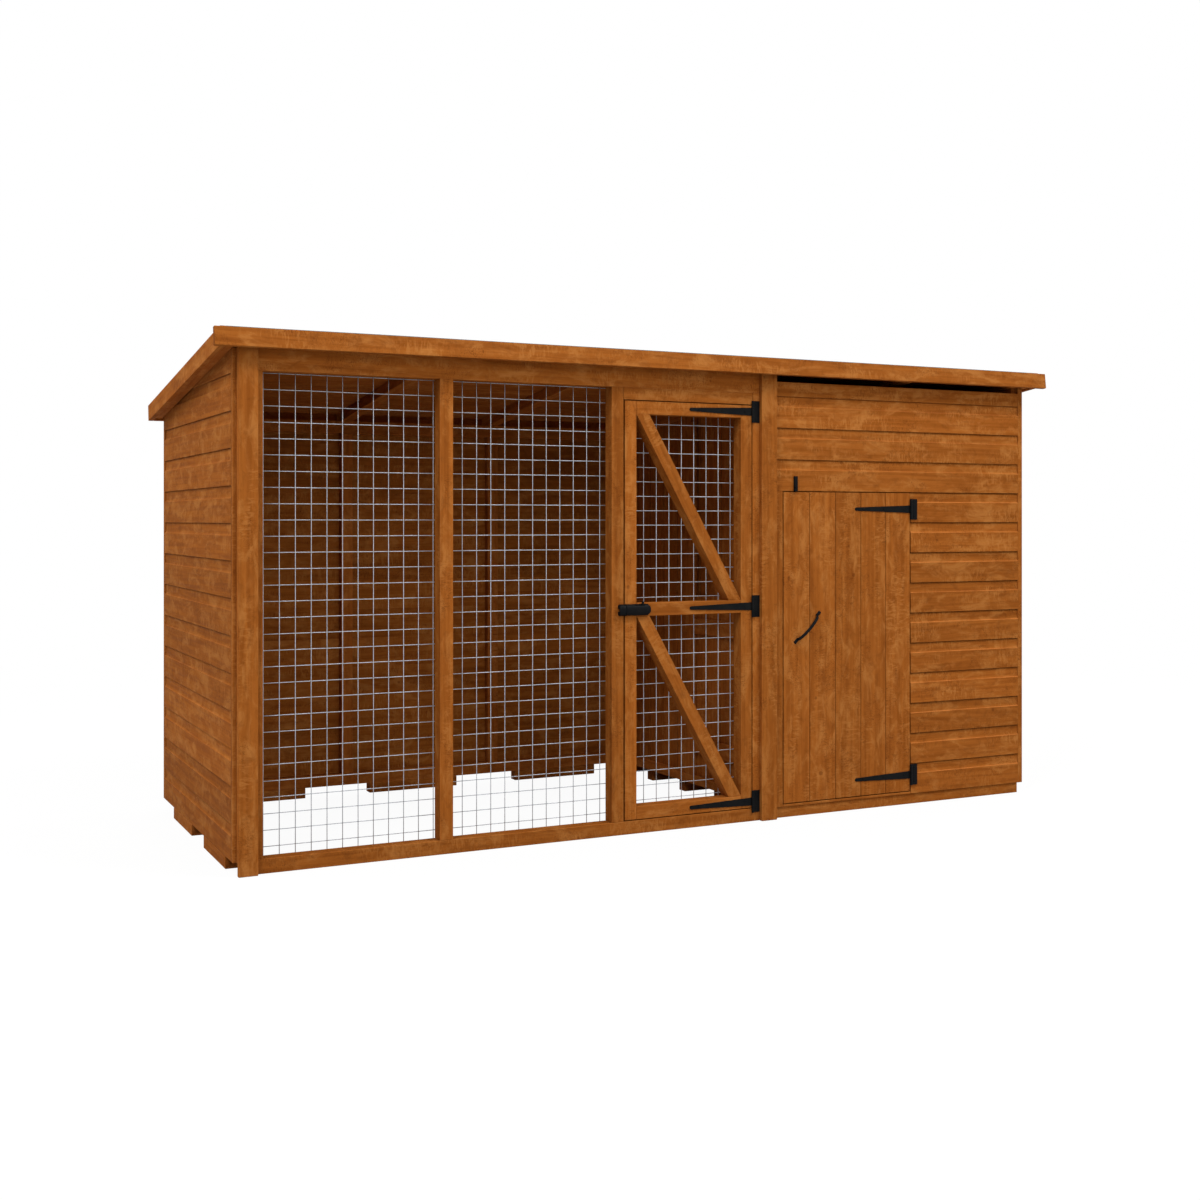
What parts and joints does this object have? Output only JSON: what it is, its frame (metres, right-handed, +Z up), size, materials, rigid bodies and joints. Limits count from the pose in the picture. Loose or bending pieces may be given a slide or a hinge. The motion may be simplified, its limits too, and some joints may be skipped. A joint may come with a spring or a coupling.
{
  "type": "pet house with run",
  "caption": "Timber pet house with an attached wire-mesh run under one pent roof, with a braced mesh door to the run, a boarded door to the house and a lifting hatch between them.",
  "frame": {"origin": "on the ground under the middle of the whole object", "axes": "+X along the front from the run to the house, +Y from the front to the back, +Z up"},
  "size_m": [3.218, 1.281, 1.6466],
  "materials": {
    "stained_timber": "honey-brown stained softwood, satin",
    "inner_timber": "stained softwood, matt, darker inside",
    "galvanised": "galvanised wire",
    "black_steel": "matt black coating",
    "roofing_felt": "mineral roofing felt"
  },
  "bodies": {
    "house": {"back_fascia": "stained_timber", "back_wall_cladding": "stained_timber", "back_wall_frame": "inner_timber", "bolt_keep": "black_steel", "floor_bearers": "inner_timber", "floor_boards": "inner_timber", "front_bottom_rail": "stained_timber", "front_fascia": "stained_timber", "front_left_stile": "stained_timber", "front_top_rail": "stained_timber", "hinge_pins": "black_steel", "hinge_plate_screws": "black_steel", "hinge_plates": "black_steel", "kennel_door_sill": "stained_timber", "kennel_front_frame": "stained_timber", "kennel_jamb_strip": "stained_timber", "kennel_plinth": "stained_timber", "kennel_side_cladding": "stained_timber", "kennel_upper_cladding": "stained_timber", "left_bargeboard": "stained_timber", "left_bay_mesh": "galvanised", "left_corner_trim": "stained_timber", "left_mullion": "stained_timber", "left_wall_cladding": "stained_timber", "left_wall_frame": "inner_timber", "mid_trim": "stained_timber", "partition_boards": "inner_timber", "partition_frame": "inner_timber", "rafters": "inner_timber", "right_bargeboard": "stained_timber", "right_bay_mesh": "galvanised", "right_corner_strip": "stained_timber", "right_mullion": "stained_timber", "right_wall_cladding": "stained_timber", "right_wall_frame": "inner_timber", "roof_boards": "inner_timber", "roof_felt": "roofing_felt", "run_door_frame": "stained_timber", "turn_button_screw": "black_steel", "wall_feet": "stained_timber"},
    "run_door": {"bolt_plate": "black_steel", "run_door_bottom_rail": "stained_timber", "run_door_hinge_stile": "stained_timber", "run_door_lock_stile": "stained_timber", "run_door_lower_brace": "stained_timber", "run_door_mesh": "galvanised", "run_door_mid_rail": "stained_timber", "run_door_top_rail": "stained_timber", "run_door_upper_brace": "stained_timber", "run_hinge_straps": "black_steel", "run_strap_screws": "black_steel"},
    "run_bolt": {"bolt_rod": "black_steel"},
    "kennel_door": {"kennel_door_boards": "stained_timber", "kennel_door_ledges": "stained_timber", "kennel_hinge_straps": "black_steel", "kennel_strap_screws": "black_steel", "kennel_door_handle": "black_steel"},
    "turn_button": {"turn_button": "black_steel"},
    "hatch": {"hatch_boards": "inner_timber", "hatch_ledges": "inner_timber"}
  },
  "joints": [
    {"name": "run_door_swing", "type": "hinge", "parent": "house", "child": "run_door", "pos_m": [0.2897, -0.58438, 0.764], "axis": [0, 0, 1], "range_deg": [0, 110]},
    {"name": "run_bolt_slide", "type": "slide", "parent": "run_door", "child": "run_bolt", "axis": [-1, 0, 0], "range_m": [0, 0.026]},
    {"name": "kennel_door_swing", "type": "hinge", "parent": "house", "child": "kennel_door", "pos_m": [0.9922, -0.58438, 0.05], "axis": [0, 0, 1], "range_deg": [0, 110]},
    {"name": "turn_button_turn", "type": "hinge", "parent": "house", "child": "turn_button", "pos_m": [0.472, -0.58358, 1.188], "axis": [0, 1, 0], "range_deg": [0, 180]},
    {"name": "hatch_lift", "type": "slide", "parent": "house", "child": "hatch", "axis": [0, 0, 1], "range_m": [0, 0.64]}
  ]
}
